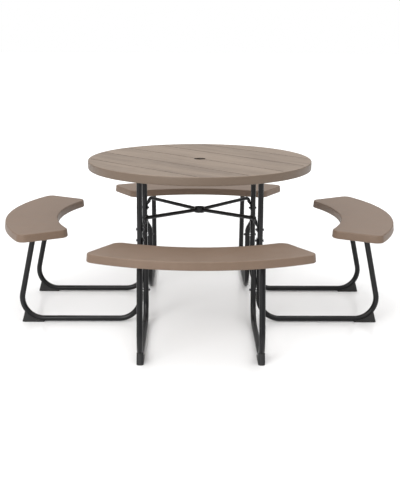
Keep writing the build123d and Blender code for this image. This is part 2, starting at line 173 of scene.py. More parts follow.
def across_rows():
    """Distances across the planks of the rows: even steps, plus every groove and wall."""
    inner = TOP_RADIUS - TOP_ROUND
    even = inner * np.sin(np.radians(np.linspace(-90, 90, 101)))
    groove_steps = np.array([-0.5, -0.4, -0.3, -0.15, 0.0, 0.15, 0.3, 0.4, 0.5]) * GROOVE_WIDTH
    wall = np.linspace(CHANNEL_FLOOR, CHANNEL_MOUTH, 5) / 2
    wall_steps = np.concatenate([-wall, wall])
    hole = (HOLE_RADIUS + HOLE_LIP) * np.sin(np.radians(np.linspace(-90, 90, 33)))
    groove_rows = np.add.outer(GROOVES, groove_steps).ravel()
    wall_rows = np.add.outer(CHANNELS, wall_steps).ravel()
    fixed = sorted_unique([hole, groove_rows, wall_rows])
    nearest = np.abs(even[:, None] - fixed[None, :]).min(axis=1)
    keep = (nearest > 1.5 * MM) | (np.abs(even) > inner - 1e-6)
    return sorted_unique([even[keep], fixed])


def half_disc(rows, sign, heights, end_margin, end_wall):
    """One half of a face of the disc: rows run outwards from the hole or the middle line.

    Along a row the points go evenly to where troughs end, step down that end's wall, and go
    on to the rim, so each trough's end is as crisp as its sides.
    """
    inner = TOP_RADIUS - TOP_ROUND
    start = np.sqrt(np.clip((HOLE_RADIUS + HOLE_LIP) ** 2 - rows ** 2, 0, None))
    stop = np.sqrt(np.clip(inner ** 2 - rows ** 2, 0, None))
    end = np.maximum(stop - end_margin, start + 0.6 * (stop - start))
    wall = np.minimum(end_wall, 0.3 * (end - start))
    first = start[:, None] + (end - wall - start)[:, None] * np.linspace(0, 1, 24) ** 0.8
    second = (end - wall)[:, None] + wall[:, None] * np.linspace(0, 1, 6)[1:]
    third = end[:, None] + (stop - end)[:, None] * np.linspace(0, 1, 6)[1:]
    along = np.concatenate([first, second, third], axis=1)
    fade = 1 - smooth_step((along - (end - wall)[:, None]) / np.maximum(wall, 1e-9)[:, None])
    across = np.repeat(rows[:, None], along.shape[1], axis=1)
    return np.stack([sign * along, across, heights(across, fade)], axis=2)


def top_height(across, fade):
    """Level of the planks, with the grooves let in."""
    groove = sum(trough(across - g, GROOVE_WIDTH, GROOVE_WIDTH * 0.45) for g in GROOVES)
    return TOP - GROOVE_DEPTH * groove * fade


def under_height(across, fade):
    """Level of the underside, with the channels pressed up."""
    channel = sum(trough(across - c, CHANNEL_MOUTH, CHANNEL_FLOOR) for c in CHANNELS)
    return TOP_UNDER + CHANNEL_DEPTH * channel * fade


def quarter(steps):
    """Sine and cosine of evenly spaced angles from 0 to 90 degrees."""
    angle = np.radians(np.linspace(0, 90, steps))
    return np.sin(angle), np.cos(angle)


def band(sines, sign, radii, levels):
    """A band round the disc: each point has a radius and a level on a ray of given sine."""
    cosines = np.sqrt(np.clip(1 - sines ** 2, 0, None))
    x = sign * cosines[:, None] * radii
    y = sines[:, None] * radii
    return np.stack([x, y, levels], axis=2)


def make_tabletop():
    """Closed tabletop: planks, rim, underside and the wall of the umbrella hole."""
    rows = across_rows()
    inner = TOP_RADIUS - TOP_ROUND
    sine, cosine = quarter(7)
    rim_radii = np.concatenate([inner + TOP_ROUND * sine, inner + TOP_ROUND * cosine])
    rim_levels = np.concatenate([TOP - TOP_ROUND * (1 - cosine), TOP_UNDER + TOP_ROUND * (1 - sine)])
    hole_rows = rows[np.abs(rows) <= HOLE_RADIUS + HOLE_LIP + 1e-9]
    wall_radii = HOLE_RADIUS + HOLE_LIP * np.concatenate([1 - sine, 1 - cosine])
    wall_levels = np.concatenate([TOP - HOLE_LIP * (1 - cosine), TOP_UNDER + HOLE_LIP * (1 - sine)])
    lip_top = top_height(hole_rows, 1.0)
    grids = []
    for sign in (1, -1):
        grids.append((half_disc(rows, sign, top_height, GROOVE_MARGIN - TOP_ROUND, 3 * MM), sign < 0))
        grids.append((half_disc(rows, sign, under_height, CHANNEL_MARGIN - TOP_ROUND, 7 * MM), sign > 0))
        rim = np.broadcast_to(rim_levels, (len(rows), len(rim_levels)))
        grids.append((band(rows / inner, sign, rim_radii[None, :], rim), sign < 0))
        wall = np.minimum(wall_levels[None, :], lip_top[:, None])
        hole_sines = hole_rows / (HOLE_RADIUS + HOLE_LIP)
        grids.append((band(hole_sines, sign, wall_radii[None, :], wall), sign > 0))
    turned = [(turn_about_z(grid, PLANK_TURN), flip) for grid, flip in grids]
    return piece_from_grids("tabletop_panel", turned, ["tabletop"])


tabletop_panel = make_tabletop()

# %% [markdown]
# ## The benches
# Each bench is a curved panel of the same make. Its outline is two arcs and two straight
# ends with round corners. A point of the panel is found by mixing a point of the inner arc
# with the point of the outer arc at the same share of its length, which keeps the rows
# parallel to the long edges and the columns square to them.

# %% Bench sizes
seat_low, seat_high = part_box("seat_right")
SEAT_TOP = seat_high.z
SEAT_UNDER = seat_low.z
SEAT_OUTER_REACH = 917.2 * MM
SEAT_INNER_REACH = 669.2 * MM
SEAT_INNER_RADIUS = 696.0 * MM
SEAT_OUTER_RADIUS = 911.0 * MM
SEAT_INNER_HALF = 353.0 * MM
SEAT_OUTER_HALF = 475.0 * MM
SEAT_INNER_CORNER = 41.0 * MM
SEAT_OUTER_CORNER = 34.0 * MM
SEAT_FLARE = 3.2 * MM
SEAT_ROUND = 6.0 * MM
SEAT_UNDER_ROUND = 6.0 * MM
SEAT_CHANNEL_INSET = 42.0 * MM
SEAT_CHANNEL_DEPTH = 30.0 * MM
BENCH_TURNS = {"right": 0.0, "back": 90.0, "left": 180.0, "front": -90.0}


# %% Bench outline
def arc_end(middle_reach, radius, half):
    """End of an arc, from the reach of its middle, its radius and half its chord."""
    return np.array([middle_reach - radius + np.sqrt(radius ** 2 - half ** 2), half])


def meet(centre, radius, along, normal, distance):
    """Point where the line at a distance along a normal meets a circle centred on X."""
    foot = normal * distance - np.array([centre, 0.0])
    inside = np.dot(foot, along)
    step = -inside + np.sqrt(inside ** 2 - np.dot(foot, foot) + radius ** 2)
    return normal * distance + along * step


def bench_arcs(inset):
    """Centres, radii and end angles of both arcs of the outline drawn in by an inset."""
    inner_end = arc_end(SEAT_INNER_REACH, SEAT_INNER_RADIUS, SEAT_INNER_HALF)
    outer_end = arc_end(SEAT_OUTER_REACH, SEAT_OUTER_RADIUS, SEAT_OUTER_HALF)
    along = (outer_end - inner_end) / np.linalg.norm(outer_end - inner_end)
    normal = np.array([-along[1], along[0]])
    distance = np.dot(inner_end, normal) - inset
    arcs = []
    for reach, radius, change in (
        (SEAT_INNER_REACH, SEAT_INNER_RADIUS, inset),
        (SEAT_OUTER_REACH, SEAT_OUTER_RADIUS, -inset),
    ):
        centre = reach - radius
        corner = meet(centre, radius + change, along, normal, distance)
        arcs.append((centre, radius + change, np.arctan2(corner[1], corner[0] - centre)))
    return arcs


def bench_point(across, along, arcs):
    """Mix of the inner arc's point and the outer arc's point at the same share of length."""
    (c0, r0, a0), (c1, r1, a1) = arcs
    inner = np.stack([c0 + r0 * np.cos(along * a0), r0 * np.sin(along * a0)], axis=-1)
    outer = np.stack([c1 + r1 * np.cos(along * a1), r1 * np.sin(along * a1)], axis=-1)
    return inner + (outer - inner) * across[..., None]


def bench_grid(arcs, width, corners):
    """Shares across and along for every point, narrowed at the round corners."""
    lengths = [radius * angle for _, radius, angle in arcs]
    mean = sum(lengths) / 2
    bends = 1 - np.cos(np.radians(np.linspace(0, 90, 12)))
    corner_steps = np.concatenate([bends * corner / length for corner, length in zip(corners, lengths)])
    channel_end = (CHANNEL_MARGIN - SEAT_ROUND + np.linspace(0, 7, 5) * MM) / mean
    even = np.linspace(0, 1 - 60 * MM / mean, 22)
    half = sorted_unique([1 - corner_steps, 1 - channel_end, even], 2e-4)
    along = np.concatenate([-half[:0:-1], half])
    across = [np.linspace(0, 1, 13)]
    edge = SEAT_CHANNEL_INSET - SEAT_ROUND - SEAT_FLARE
    for middle in (edge, width - edge):
        wall = np.linspace(CHANNEL_FLOOR, CHANNEL_MOUTH, 5) / 2
        across.append((middle + wall) / width)
        across.append((middle - wall) / width)
    across = sorted_unique(across, 0.002)
    cut = []
    for corner, length in zip(corners, lengths):
        left = np.clip(corner - (1 - np.abs(along)) * length, 0, corner)
        cut.append((corner - np.sqrt(corner ** 2 - left ** 2)) / width)
    low, high = cut[0][:, None], 1 - cut[1][:, None]
    return low + (high - low) * across[None, :], np.repeat(along[:, None], len(across), axis=1)


def border(grid):
    """The grid's four edges as one closed loop of points."""
    return np.concatenate([grid[:, 0], grid[-1, 1:], grid[-2::-1, -1], grid[0, -2:0:-1]])


def make_bench(name, turn):
    """Closed bench: flat top, rounded edge, side, and underside with two curved channels.

    The side leans outwards down to its lower round, so the widest row lies a little inside
    the outline, as far out as the measured bench reaches.
    """
    arcs = bench_arcs(SEAT_ROUND + SEAT_FLARE)
    width = arcs[1][0] + arcs[1][1] - arcs[0][0] - arcs[0][1]
    corners = (SEAT_INNER_CORNER - SEAT_ROUND, SEAT_OUTER_CORNER - SEAT_ROUND)
    across, along = bench_grid(arcs, width, corners)
    flat = bench_point(across, along, arcs)
    mean = (arcs[0][1] * arcs[0][2] + arcs[1][1] * arcs[1][2]) / 2
    from_end = (1 - np.abs(along)) * mean
    fade = smooth_step((from_end - CHANNEL_MARGIN + SEAT_ROUND) / (7 * MM))
    place = across * width + SEAT_ROUND + SEAT_FLARE
    outer_channel = width + 2 * (SEAT_ROUND + SEAT_FLARE) - SEAT_CHANNEL_INSET
    channel = trough(place - SEAT_CHANNEL_INSET, CHANNEL_MOUTH, CHANNEL_FLOOR)
    channel = channel + trough(place - outer_channel, CHANNEL_MOUTH, CHANNEL_FLOOR)
    top = np.dstack([flat, np.full(across.shape, SEAT_TOP)])
    under = np.dstack([flat, SEAT_UNDER + SEAT_CHANNEL_DEPTH * channel * fade])
    loop = border(flat)
    tangent = np.roll(loop, -1, axis=0) - np.roll(loop, 1, axis=0)
    tangent /= np.linalg.norm(tangent, axis=1)[:, None]
    outward = np.stack([-tangent[:, 1], tangent[:, 0]], axis=1)
    sine, cosine = quarter(8)
    brim = SEAT_ROUND + SEAT_FLARE - (SEAT_OUTER_REACH - seat_high.x)
    steps = np.concatenate([SEAT_ROUND * sine, brim - SEAT_UNDER_ROUND * (1 - cosine), [0.0]])
    levels = np.concatenate(
        [SEAT_TOP - SEAT_ROUND * (1 - cosine), SEAT_UNDER + SEAT_UNDER_ROUND * (1 - sine), [SEAT_UNDER]]
    )
    edge = loop[:, None, :] + outward[:, None, :] * steps[None, :, None]
    edge = np.dstack([edge, np.broadcast_to(levels, (len(loop), len(levels)))])
    edge = np.concatenate([edge, edge[:1]], axis=0)
    grids = ((top, False), (under, True), (edge, False))
    turned = [(turn_about_z(grid, turn), flip) for grid, flip in grids]
    return piece_from_grids(f"bench_panel_{name}", turned, [f"seat_{name}"])


bench_panels = [make_bench(name, turn) for name, turn in BENCH_TURNS.items()]

# %% [markdown]
# ## Welds
# The plates and the umbrella ring are welded to the tubes. A weld is a small bead laid in
# overlapping drops along the corner between two parts. A curve object with a round bevel
# would give an even bead. Here the bead is a grid: one parameter goes round the joint, the
# other round the bead, and its radius swells a little at every drop.

# %% Weld beads
BEAD_RADIUS = 1.7 * MM
BEAD_SWELL = 0.07
BEAD_DROPS = 24
TUBE_RADIUS = 12.7 * MM
ARM_RADIUS = 8.5 * MM
LEG_SPLAY = np.radians(12.0)
ARM_RISE = 10.0 * MM
ARM_REACH = 355.0 * MM
ARM_SLOPE = ARM_RISE / ARM_REACH
BEAD_SIDES = 10
BEAD_TURN = np.linspace(0, 2 * np.pi, 97)


def weld_bead(path, first, second):
    """Closed bead along a loop: path + r (first cos s + second sin s), r rippled by the drops."""
    section = np.linspace(0, 2 * np.pi, BEAD_SIDES + 1)[None, :, None]
    swell = BEAD_RADIUS * (1 + BEAD_SWELL * np.cos(BEAD_DROPS * BEAD_TURN))[:, None, None]
    round_path = first[:, None, :] * np.cos(section) + second[:, None, :] * np.sin(section)
    return path[:, None, :] + swell * round_path


def plate_bead(plate, lean_x, lean_y):
    """Bead under a plate, round the ellipse where a leaning tube meets it."""
    low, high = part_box(plate)
    lean = np.array([lean_x, lean_y, 0.0])
    thickness = high.z - low.z
    centre = np.array([(low.x + high.x) / 2, (low.y + high.y) / 2, low.z])
    centre = centre + lean * thickness * np.tan(LEG_SPLAY)
    outward = np.stack([np.cos(BEAD_TURN), np.sin(BEAD_TURN), 0 * BEAD_TURN], axis=1)
    stretch = 1 + np.abs(lean) * (1 / np.cos(LEG_SPLAY) - 1)
    upward = np.tile([0.0, 0.0, 1.0], (len(BEAD_TURN), 1))
    return weld_bead(centre + TUBE_RADIUS * outward * stretch, outward, upward)


def ring_bead(side, end):
    """Bead where an arm of radius a meets the ring of radius R: reach = sqrt(R^2 - (a cos t)^2)."""
    arm_low, arm_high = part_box(f"brace_arm_{side}_{end}")
    ring_low, ring_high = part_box("umbrella_ring")
    ring_radius = (ring_high.x - ring_low.x) / 2
    plate_low, plate_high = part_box(f"top_plate_{side}_{end}")
    arm_end_x = max(abs(arm_low.x), abs(arm_high.x)) - ARM_RADIUS
    arm_end_y = (plate_low.y + plate_high.y) / 2
    out = np.array([SIDES[side] * arm_end_x, arm_end_y, 0.0])
    out /= np.linalg.norm(out)
    sideways = np.array([-out[1], out[0], 0.0])
    upward = np.array([0.0, 0.0, 1.0])
    across = ARM_RADIUS * np.cos(BEAD_TURN)
    reach = np.sqrt(ring_radius ** 2 - across ** 2)
    middle = (ring_low.z + ring_high.z) / 2 + ring_radius * ARM_SLOPE
    around = np.cos(BEAD_TURN)[:, None] * sideways + np.sin(BEAD_TURN)[:, None] * upward
    path = reach[:, None] * out + ARM_RADIUS * around + np.array([0.0, 0.0, middle])
    return weld_bead(path, around, np.tile(out, (len(BEAD_TURN), 1)))


beads = []
for side, along_x in SIDES.items():
    for end, along_y in ENDS.items():
        beads.append(plate_bead(f"top_plate_{side}_{end}", 0, 0))
        beads.append(plate_bead(f"seat_plate_{side}_{end}", along_x, 0))
        beads.append(plate_bead(f"seat_plate_{end}_{side}", 0, along_y))
        beads.append(ring_bead(side, end))
weld_beads = piece_from_grids("weld_beads", [(bead, False) for bead in beads], [])

# %% [markdown]
# ## Finishes
# Nothing here is a picture. Every finish is built from nodes that read Object coordinates,
# which are metres from the middle of the table, so a grain of 2 mm stays 2 mm on every
# piece. Effects are node groups with named sockets. Several finishes share the moulded
# skin, the settled dust and the worn edges, which on the plastic panels are also a painted highlight.
# The painted recess shade and the plank grain serve the tabletop. A group hands out only masks, normals
# and heights. The shader itself stays in the material.


# %% Node helpers
def node(tree, kind, inputs=None, **settings):
    """Add a node, set its properties, then set or link each named input."""
    made = tree.nodes.new(kind)
    for key, value in settings.items():
        setattr(made, key, value)
    for key, value in (inputs or {}).items():
        if isinstance(value, bpy.types.NodeSocket):
            tree.links.new(value, made.inputs[key])
        else:
            made.inputs[key].default_value = value
    return made


def maths(tree, operation, first, second=0.5, third=0.5, clamp=False):
    """A Math node's result."""
    made = node(tree, "ShaderNodeMath", {0: first, 1: second, 2: third}, operation=operation)
    made.use_clamp = clamp
    return made.outputs[0]


def remap(tree, value, low, high, new_low=0.0, new_high=1.0):
    """Value carried smoothly from low..high to new_low..new_high, clipped at both ends."""
    sockets = {"Value": value, "From Min": low, "From Max": high, "To Min": new_low, "To Max": new_high}
    return node(tree, "ShaderNodeMapRange", sockets, interpolation_type="SMOOTHSTEP").outputs["Result"]


def noise(tree, vector, scale, detail=3.0, roughness=0.55, distortion=0.0):
    """A noise texture's value, 0 to 1 with its middle at about 0.5."""
    sockets = {"Vector": vector, "Scale": scale, "Detail": detail, "Roughness": roughness}
    sockets["Distortion"] = distortion
    return node(tree, "ShaderNodeTexNoise", sockets).outputs["Fac"]


def blend(tree, mask, first, second, kind="MIX"):
    """Two colours mixed by a mask."""
    made = node(tree, "ShaderNodeMix", data_type="RGBA", blend_type=kind)
    sockets = ((made.inputs["Factor"], mask), (made.inputs[6], first), (made.inputs[7], second))
    for socket, value in sockets:
        if isinstance(value, bpy.types.NodeSocket):
            tree.links.new(value, socket)
        else:
            socket.default_value = value
    return made.outputs[2]


def new_group(name, inputs, outputs):
    """An empty node group with named sockets, and its input and output nodes."""
    group = bpy.data.node_groups.new(name, "ShaderNodeTree")
    for label, kind, value in inputs:
        socket = group.interface.new_socket(name=label, in_out="INPUT", socket_type=kind)
        if value is not None:
            socket.default_value = value
    for label, kind in outputs:
        group.interface.new_socket(name=label, in_out="OUTPUT", socket_type=kind)
    return group, node(group, "NodeGroupInput"), node(group, "NodeGroupOutput")


def use_group(tree, group, inputs):
    """A group placed in a material with its own values."""
    made = node(tree, "ShaderNodeGroup", node_tree=group)
    for key, value in inputs.items():
        if isinstance(value, bpy.types.NodeSocket):
            tree.links.new(value, made.inputs[key])
        else:
            made.inputs[key].default_value = value
    return made.outputs


def grey(value):
    """A grey colour from one linear value."""
    return (value, value, value, 1.0)


VECTOR, FLOAT = "NodeSocketVector", "NodeSocketFloat"

# %% [markdown]
# ### Moulded skin
# Plastic from a mould and paint baked on from powder are both slightly pebbled. Two layers
# of noise make it: a fine one for the pebbles and a broad one for the slow unevenness that
# makes a reflection wander. The pebble size is an input, so plastic and paint share it.


# %% Group: moulded skin
def skin_group():
    """Height = pebbles + a little broad waviness. Mottle = a soft patchy value round 0.5."""
    inputs = [("Vector", VECTOR, None), ("Pebbles per metre", FLOAT, 900.0), ("Waviness", FLOAT, 0.3)]
    group, start, end = new_group("moulded_skin", inputs, [("Height", FLOAT), ("Mottle", FLOAT)])
    place, density, wave = start.outputs[:3]
    pebbles = noise(group, place, density, 2.0, 0.5)
    broad = noise(group, place, maths(group, "MULTIPLY", density, 0.03), 2.0, 0.5)
    height = maths(group, "MULTIPLY_ADD", broad, wave, pebbles)
    patches = noise(group, place, 14.0, 4.0, 0.6, 0.4)
    speckle = noise(group, place, maths(group, "MULTIPLY", density, 0.6), 3.0, 0.7)
    mottle = maths(group, "MULTIPLY_ADD", speckle, 0.4, maths(group, "MULTIPLY", patches, 0.6))
    group.links.new(height, end.inputs["Height"])
    group.links.new(mottle, end.inputs["Mottle"])
    return group


moulded_skin = skin_group()

# %% [markdown]
# ### Settled dust
# A table that stands outside is never quite clean: fine dust lies on what faces up and in
# what is sheltered. The mask is how far the surface faces up, broken up by noise.


# %% Group: settled dust
def dust_group():
    """Mask = upward share of the normal, smoothed, times patchy noise, times the amount."""
    inputs = [("Vector", VECTOR, None), ("Amount", FLOAT, 0.3)]
    group, start, end = new_group("settled_dust", inputs, [("Mask", FLOAT)])
    normal = node(group, "ShaderNodeNewGeometry").outputs["Normal"]
    upward = node(group, "ShaderNodeSeparateXYZ", {"Vector": normal}).outputs["Z"]
    facing = remap(group, upward, 0.2, 0.95)
    patches = remap(group, noise(group, start.outputs["Vector"], 22.0, 6.0, 0.65, 0.6), 0.38, 0.75)
    specks = remap(group, noise(group, start.outputs["Vector"], 420.0, 2.0, 0.6), 0.5, 0.8)
    lying = maths(group, "MULTIPLY", facing, maths(group, "MULTIPLY_ADD", specks, 0.5, patches))
    mask = maths(group, "MULTIPLY", lying, start.outputs["Amount"], clamp=True)
    group.links.new(mask, end.inputs["Mask"])
    return group


settled_dust = dust_group()

# %% [markdown]
# ### Worn edges and painted highlight
# Edges rub pale on plastic and shiny on paint. On the plastic panels the pale edge is also a
# painted highlight, as on rounded edges that catch the light. A Bevel node gives the normal that the
# surface would have if its edges were rounded. Where that differs from the true normal,
# there is an edge, and the group puts out both the mask and the rounded normal.


# %% Group: worn edges and painted highlight
def edge_wear_and_highlight_group():
    """Mask = 1 - dot(rounded normal, true normal), raised and broken up by noise."""
    inputs = [("Vector", VECTOR, None), ("Radius", FLOAT, 0.001), ("Amount", FLOAT, 0.5)]
    group, start, end = new_group("worn_edges_and_highlight", inputs, [("Mask", FLOAT), ("Normal", VECTOR)])
    reach = {"Radius": start.outputs["Radius"]}
    rounded = node(group, "ShaderNodeBevel", reach, samples=6).outputs["Normal"]
    true = node(group, "ShaderNodeNewGeometry").outputs["Normal"]
    both = {0: rounded, 1: true}
    dot = node(group, "ShaderNodeVectorMath", both, operation="DOT_PRODUCT").outputs["Value"]
    edge = remap(group, maths(group, "SUBTRACT", 1.0, dot), 0.01, 0.22)
    rubbed = remap(group, noise(group, start.outputs["Vector"], 60.0, 5.0, 0.65), 0.35, 0.7)
    worn = maths(group, "MULTIPLY", edge, rubbed)
    mask = maths(group, "MULTIPLY", worn, start.outputs["Amount"], clamp=True)
    group.links.new(mask, end.inputs["Mask"])
    group.links.new(rounded, end.inputs["Normal"])
    return group


worn_edges_and_highlight = edge_wear_and_highlight_group()

# %% [markdown]
# ### Recess shade
# Painted shade darkens grooves and holes, where less light reaches. Ambient occlusion
# measures how closed in a point is: it is 1 in the open and falls towards 0 in a groove.


# %% Group: recess shade
def recess_shade_group():
    """Mask for painted shade = how closed in the surface is within a distance, times the amount."""
    inputs = [("Distance", FLOAT, 0.01), ("Amount", FLOAT, 0.8)]
    group, start, end = new_group("recess_painted_shade", inputs, [("Mask", FLOAT)])
    reach = {"Distance": start.outputs["Distance"]}
    open_share = node(group, "ShaderNodeAmbientOcclusion", reach, samples=8).outputs["AO"]
    closed = remap(group, open_share, 0.97, 0.6)
    mask = maths(group, "MULTIPLY", closed, start.outputs["Amount"], clamp=True)
    group.links.new(mask, end.inputs["Mask"])
    return group


recess_painted_shade = recess_shade_group()

# %% [markdown]
# ### Plank grain
# The planks of the top carry a soft printed wood look. Along a plank everything is drawn
# out: broad tone bands, narrower streaks and thin dark lines. The Mapping node before this
# group turns the pattern along the planks and the group squeezes it across them.


# %% Group: plank grain
def grain_group():
    """Streaks = noise drawn out along local X. Lines = thin bands bent by slow noise."""
    inputs = [("Vector", VECTOR, None), ("Strength", FLOAT, 1.0)]
    group, start, end = new_group("plank_grain", inputs, [("Streaks", FLOAT), ("Lines", FLOAT)])
    place = start.outputs["Vector"]
    tree = group

    def drawn_out(along, across):
        """The place, scaled along and across the planks."""
        scale = (along, across, across)
        return node(tree, "ShaderNodeMapping", {"Vector": place, "Scale": scale}).outputs[0]

    broad = noise(tree, drawn_out(1.6, 14.0), 1.0, 3.0, 0.5, 0.5)
    streak = noise(tree, drawn_out(4.0, 90.0), 1.0, 4.0, 0.6, 0.3)
    fibre = noise(tree, drawn_out(14.0, 420.0), 1.0, 3.0, 0.6)
    mixed = maths(tree, "MULTIPLY_ADD", broad, 0.45, maths(tree, "MULTIPLY", streak, 0.35))
    mixed = maths(tree, "MULTIPLY_ADD", fibre, 0.2, mixed)
    centred = maths(tree, "MULTIPLY", maths(tree, "SUBTRACT", mixed, 0.5), start.outputs["Strength"])
    streaks = maths(tree, "ADD", centred, 0.5, clamp=True)
    wave_inputs = {"Vector": drawn_out(1.0, 7.0), "Scale": 1.7, "Distortion": 5.0, "Detail": 3.0}
    wave_inputs["Detail Scale"] = 1.2
    bands = node(tree, "ShaderNodeTexWave", wave_inputs, wave_type="BANDS", bands_direction="Y")
    wave = bands.outputs["Fac"]
    thin = remap(tree, wave, 0.72, 1.0)
    lines = maths(tree, "MULTIPLY", thin, remap(tree, fibre, 0.35, 0.65))
    tree.links.new(streaks, end.inputs["Streaks"])
    tree.links.new(lines, end.inputs["Lines"])
    return group


plank_grain = grain_group()


# %% Material helper
def new_material(name):
    """An empty node material with a Principled shader, and Object coordinates to feed it."""
    material = bpy.data.materials.new(name)
    material.use_nodes = True
    tree = material.node_tree
    tree.nodes.clear()
    shader = node(tree, "ShaderNodeBsdfPrincipled")
    output = node(tree, "ShaderNodeOutputMaterial")
    tree.links.new(shader.outputs[0], output.inputs["Surface"])
    place = node(tree, "ShaderNodeTexCoord").outputs["Object"]
    return material, tree, shader, place


def bumped(tree, height, strength, distance, normal=None):
    """Normal after a bump of a given strength and height in metres."""
    inputs = {"Height": height, "Strength": strength, "Distance": distance}
    if normal is not None:
        inputs["Normal"] = normal
    return node(tree, "ShaderNodeBump", inputs).outputs["Normal"]


# %% [markdown]
# ### Tabletop plastic
# Warm grey-brown polyethylene, satin, with the wood look pressed and printed along the
# planks. Each plank is a touch lighter or darker than the next, as its own draw of the
# print. The rim carries hardly any print, and its colour is darkened by painted shade, as on sides that
# face away from the light. Dust gathers in patches, painted shade darkens the grooves and the umbrella
# hole, and the edges are rubbed pale and carry a painted highlight.

# %% Material: tabletop plastic
DUST_COLOUR = (0.27, 0.24, 0.205, 1.0)
RECESS_SHADE_COLOUR = (0.030, 0.021, 0.015, 1.0)
PLANK_SPREAD = 0.12
RIM_PAINTED_SHADE = 0.75
HOLE_PAINTED_SHADE = 0.92
TOP_COLOUR = (0.190, 0.139, 0.101, 1.0)
TOP_DARK = (0.118, 0.083, 0.058, 1.0)
TOP_PALE = (0.250, 0.190, 0.145, 1.0)


def tabletop_material():
    """Plank tone, streaks and lines mixed between three browns, then painted shade on the rim, wear with
    a painted edge highlight, dust, and painted shade in the grooves and the hole.
    """
    material, tree, shader, place = new_material("tabletop_plastic_finish")
    turn = {"Vector": place, "Rotation": (0.0, 0.0, np.radians(-PLANK_TURN))}
    planks = node(tree, "ShaderNodeMapping", turn).outputs[0]
    across = node(tree, "ShaderNodeSeparateXYZ", {"Vector": planks}).outputs["Y"]
    number = maths(tree, "FLOOR", maths(tree, "DIVIDE", across, PLANK_PITCH))
    draw = node(tree, "ShaderNodeTexWhiteNoise", {"W": number}, noise_dimensions="1D")
    shifted = {0: draw.outputs["Color"], 1: planks}
    shift = node(tree, "ShaderNodeVectorMath", shifted, operation="ADD").outputs[0]
    normal = node(tree, "ShaderNodeNewGeometry").outputs["Normal"]
    level = node(tree, "ShaderNodeSeparateXYZ", {"Vector": normal}).outputs["Z"]
    printed = remap(tree, maths(tree, "ABSOLUTE", level), 0.5, 0.9)
    strength = maths(tree, "MULTIPLY_ADD", printed, 1.9, 0.1)
    grain = use_group(tree, plank_grain, {"Vector": shift, "Strength": strength})
    lines = maths(tree, "MULTIPLY", grain["Lines"], printed)
    plank_tone = maths(tree, "MULTIPLY_ADD", draw.outputs["Value"], PLANK_SPREAD, -PLANK_SPREAD / 2)
    tone = maths(tree, "ADD", plank_tone, grain["Streaks"])
    colour = blend(tree, remap(tree, tone, 0.2, 0.55), TOP_DARK, TOP_COLOUR)
    colour = blend(tree, remap(tree, tone, 0.5, 0.85), colour, TOP_PALE)
    colour = blend(tree, maths(tree, "MULTIPLY", lines, 0.5), colour, TOP_DARK)
    # Painted shade: faces that point neither up nor down, the rim above all, are darkened towards the
    # darkest brown.
    rim = maths(tree, "MULTIPLY_ADD", printed, -RIM_PAINTED_SHADE, RIM_PAINTED_SHADE)
    colour = blend(tree, rim, colour, TOP_DARK)
    skin = use_group(tree, moulded_skin, {"Vector": place, "Pebbles per metre": 1100.0, "Waviness": 0.5})
    # Pale edges: partly wear, partly a painted highlight on the rounded edges.
    wear_and_highlight = use_group(tree, worn_edges_and_highlight, {"Vector": place, "Radius": 2.5 * MM, "Amount": 0.35})
    colour = blend(tree, wear_and_highlight["Mask"], colour, TOP_PALE)
    dust = use_group(tree, settled_dust, {"Vector": place, "Amount": 0.16})
    colour = blend(tree, dust["Mask"], colour, DUST_COLOUR)
    # Painted shade: grooves and the hole are darkened by how closed in the surface is.
    recess_shading = use_group(tree, recess_painted_shade, {"Distance": 14.0 * MM, "Amount": 0.9})
    colour = blend(tree, recess_shading["Mask"], colour, RECESS_SHADE_COLOUR)
    # Painted shade inside the umbrella hole: its wall is darkened towards the shade colour.
    flatten = {0: place, 1: (1.0, 1.0, 0.0)}
    flat_place = node(tree, "ShaderNodeVectorMath", flatten, operation="MULTIPLY").outputs[0]
    radius = node(tree, "ShaderNodeVectorMath", {0: flat_place}, operation="LENGTH").outputs["Value"]
    hole_shade_mask = remap(tree, radius, HOLE_RADIUS + 0.9 * HOLE_LIP, HOLE_RADIUS + 0.2 * HOLE_LIP)
    colour = blend(tree, maths(tree, "MULTIPLY", hole_shade_mask, HOLE_PAINTED_SHADE), colour, RECESS_SHADE_COLOUR)
    pressed = maths(tree, "MULTIPLY_ADD", lines, -0.6, maths(tree, "MULTIPLY", grain["Streaks"], 0.9))
    height = maths(tree, "MULTIPLY_ADD", skin["Height"], 0.35, pressed)
    rough = maths(tree, "MULTIPLY_ADD", skin["Mottle"], 0.14, 0.40)
    rough = maths(tree, "MULTIPLY_ADD", dust["Mask"], 0.5, rough)
    tree.links.new(colour, shader.inputs["Base Color"])
    tree.links.new(rough, shader.inputs["Roughness"])
    tree.links.new(bumped(tree, height, 0.35, 0.4 * MM), shader.inputs["Normal"])
    shader.inputs["IOR"].default_value = 1.5
    shader.inputs["Specular IOR Level"].default_value = 0.42
    return material


# %% [markdown]
# ### Bench plastic
# The same plastic without the print: an even warm brown-grey with a fine pebble.

# %% Material: bench plastic
BENCH_COLOUR = (0.152, 0.101, 0.069, 1.0)
BENCH_DARK = (0.134, 0.088, 0.059, 1.0)
BENCH_WORN_HIGHLIGHT = (0.220, 0.158, 0.118, 1.0)


